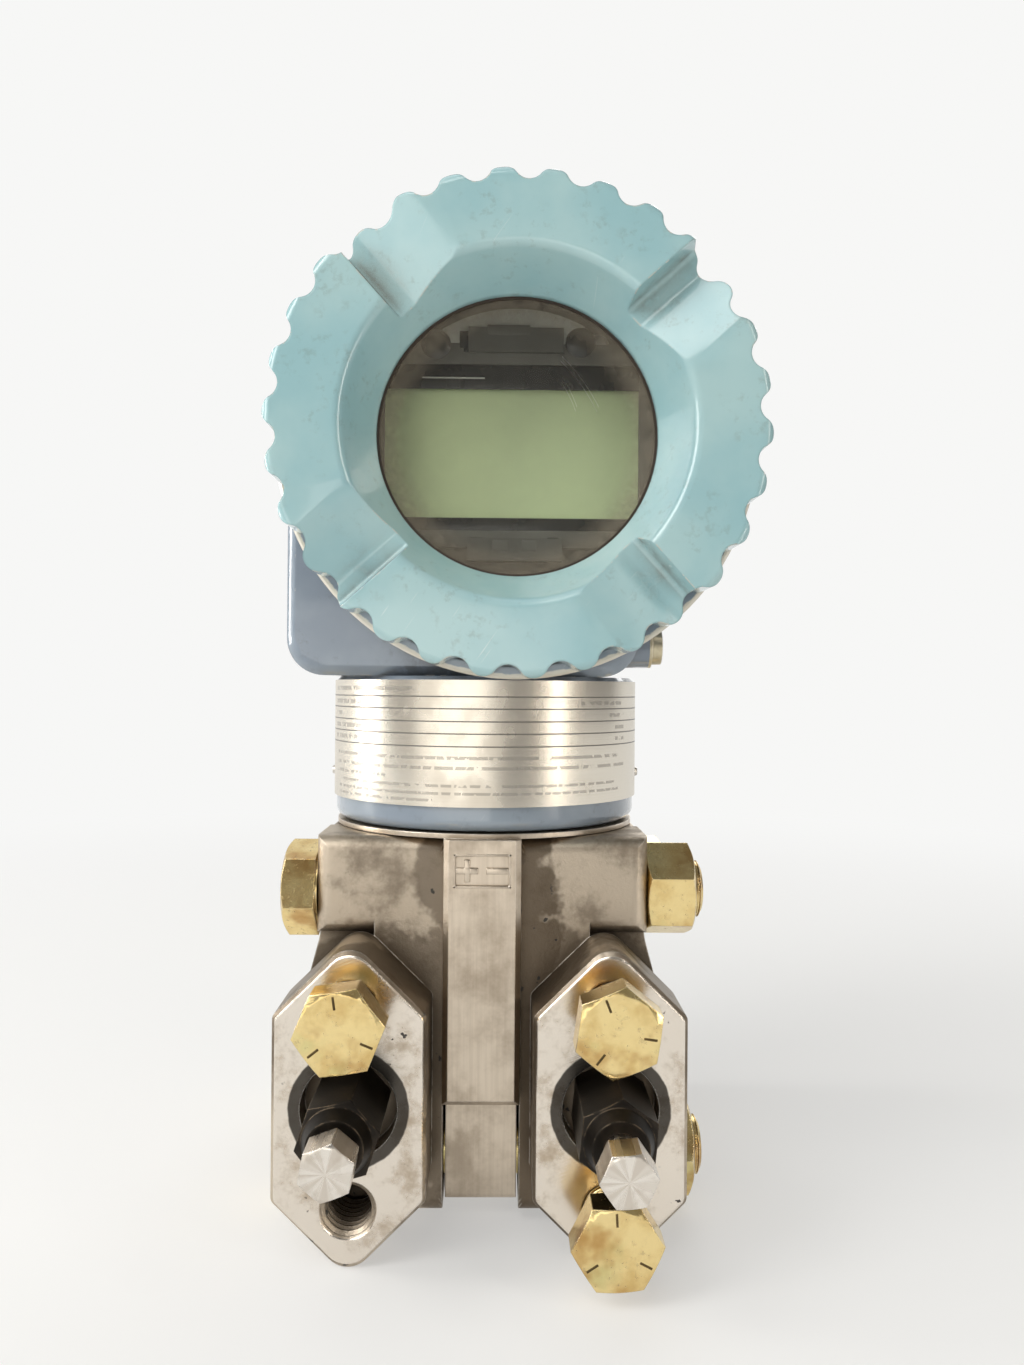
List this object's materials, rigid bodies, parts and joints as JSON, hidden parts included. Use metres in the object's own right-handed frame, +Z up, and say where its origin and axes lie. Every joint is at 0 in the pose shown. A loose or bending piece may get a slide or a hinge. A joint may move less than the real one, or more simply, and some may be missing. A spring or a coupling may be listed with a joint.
{
  "type": "differential pressure transmitter",
  "caption": "Differential pressure transmitter: sensor core clamped between process covers with vents, round neck, turnable housing with display window and screwed scalloped covers.",
  "frame": {"origin": "middle of the four tapped holes of the rear process face, on that face, at the height of the process ports", "axes": "+Z up along the neck, +X to the right seen from the display side, -Y the way the display faces, +Y out of the rear process face"},
  "size_m": [0.1038, 0.1414, 0.2228],
  "materials": {
    "core_steel": "machined stainless steel, warm grey",
    "cast_steel": "cast stainless steel, faces machined",
    "gold_steel": "steel, yellow zinc plated",
    "black_steel": "black oxide",
    "bright_steel": "turned stainless steel",
    "plate_steel": "brushed stainless sheet",
    "gasket": "black elastomer",
    "housing_paint": "grey-blue enamel, gloss",
    "cover_enamel": "light blue enamel, gloss",
    "brass": "turned brass",
    "plug_iron": "plain steel plug",
    "bezel_plastic": "dark grey moulding",
    "panel_green": "blank green liquid crystal panel",
    "board": "green circuit board",
    "potting": "black potted module",
    "terminal_plastic": "black moulding",
    "window": "clear toughened glass"
  },
  "bodies": {
    "sensor": {"sensor_core": "core_steel", "process_cover_high": "cast_steel", "process_cover_low": "cast_steel", "process_gasket_high": "gasket", "process_gasket_low": "gasket", "diaphragm_high": "bright_steel", "diaphragm_low": "bright_steel", "cover_bolts": "gold_steel", "cover_nuts": "gold_steel", "flange_screws": "gold_steel", "vent_body_high": "black_steel", "vent_body_low": "black_steel"},
    "high_vent": {"vent_screw_high": "bright_steel"},
    "low_vent": {"vent_screw_low": "bright_steel"},
    "housing": {"housing_casting": "housing_paint", "data_plate": "plate_steel", "plate_screws": "bright_steel", "ground_screw": "brass", "conduit_plug": "plug_iron", "housing_set_screw": "black_steel", "display_bezel": "bezel_plastic", "display_panel": "panel_green", "display_board": "board", "display_screws": "bright_steel", "electronics_module": "potting", "terminal_block": "terminal_plastic", "terminal_screws": "bright_steel"},
    "front_ring": {"front_seal": "gasket"},
    "front_lid": {"front_cover": "cover_enamel", "window_gasket": "gasket", "window_glass": "window", "window_retainer": "black_steel"},
    "rear_ring": {"rear_seal": "gasket"},
    "rear_lid": {"rear_cover": "cover_enamel"}
  },
  "joints": [
    {"name": "housing_turn", "type": "hinge", "parent": "sensor", "child": "housing", "pos_m": [0, -0.05, 0.07], "axis": [0, 0, 1], "range_deg": [0, 360]},
    {"name": "high_vent_turn", "type": "hinge", "parent": "sensor", "child": "high_vent", "pos_m": [-0.027, -0.11, 0], "axis": [0, -1, 0], "range_deg": [0, 360]},
    {"name": "low_vent_turn", "type": "hinge", "parent": "sensor", "child": "low_vent", "pos_m": [0.027, -0.11, 0], "axis": [0, -1, 0], "range_deg": [-360, 360]},
    {"name": "front_cover_travel", "type": "slide", "parent": "housing", "child": "front_ring", "axis": [0, -1, 0], "range_m": [0, 0.008]},
    {"name": "front_cover_turn", "type": "hinge", "parent": "front_ring", "child": "front_lid", "pos_m": [0.00675, -0.1, 0.1395], "axis": [0, -1, 0], "range_deg": [0, 1800]},
    {"name": "rear_cover_travel", "type": "slide", "parent": "housing", "child": "rear_ring", "axis": [0, 1, 0], "range_m": [0, 0.008]},
    {"name": "rear_cover_turn", "type": "hinge", "parent": "rear_ring", "child": "rear_lid", "pos_m": [0.00675, 0, 0.1395], "axis": [0, 1, 0], "range_deg": [0, 1800]}
  ],
  "couplings": [
    {"joint": "front_cover_travel", "follows": "front_cover_turn", "m_per_rad": 0.00025266},
    {"joint": "rear_cover_travel", "follows": "rear_cover_turn", "m_per_rad": 0.00025266}
  ]
}
